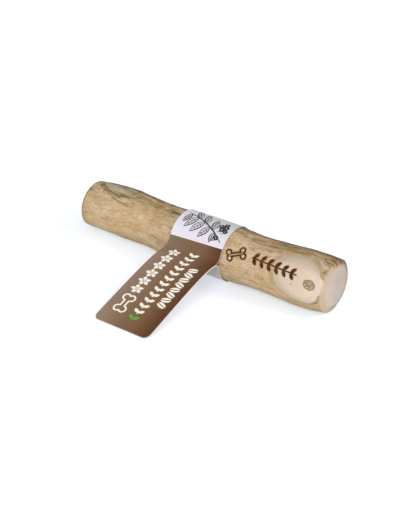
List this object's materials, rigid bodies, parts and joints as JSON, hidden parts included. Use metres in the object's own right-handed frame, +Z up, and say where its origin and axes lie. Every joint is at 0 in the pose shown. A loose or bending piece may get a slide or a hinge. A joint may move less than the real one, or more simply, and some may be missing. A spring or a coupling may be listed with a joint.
{
  "type": "wooden dog chew stick",
  "caption": "Bevelled length of peeled branch for a dog to chew, with a card band round its waist and a drooping tag.",
  "frame": {"origin": "on the table, under the middle of the whole object with its tag", "axes": "+X along the branch towards its knotty end, -Y towards the tag, +Z up"},
  "size_m": [0.15, 0.0868, 0.0288],
  "materials": {
    "peeled_wood": "smoothed peeled branch, dull",
    "printed_card": "satin printed card, white band and brown tag"
  },
  "bodies": {
    "root": {"stick": "peeled_wood", "paper_label": "printed_card"}
  },
  "joints": []
}
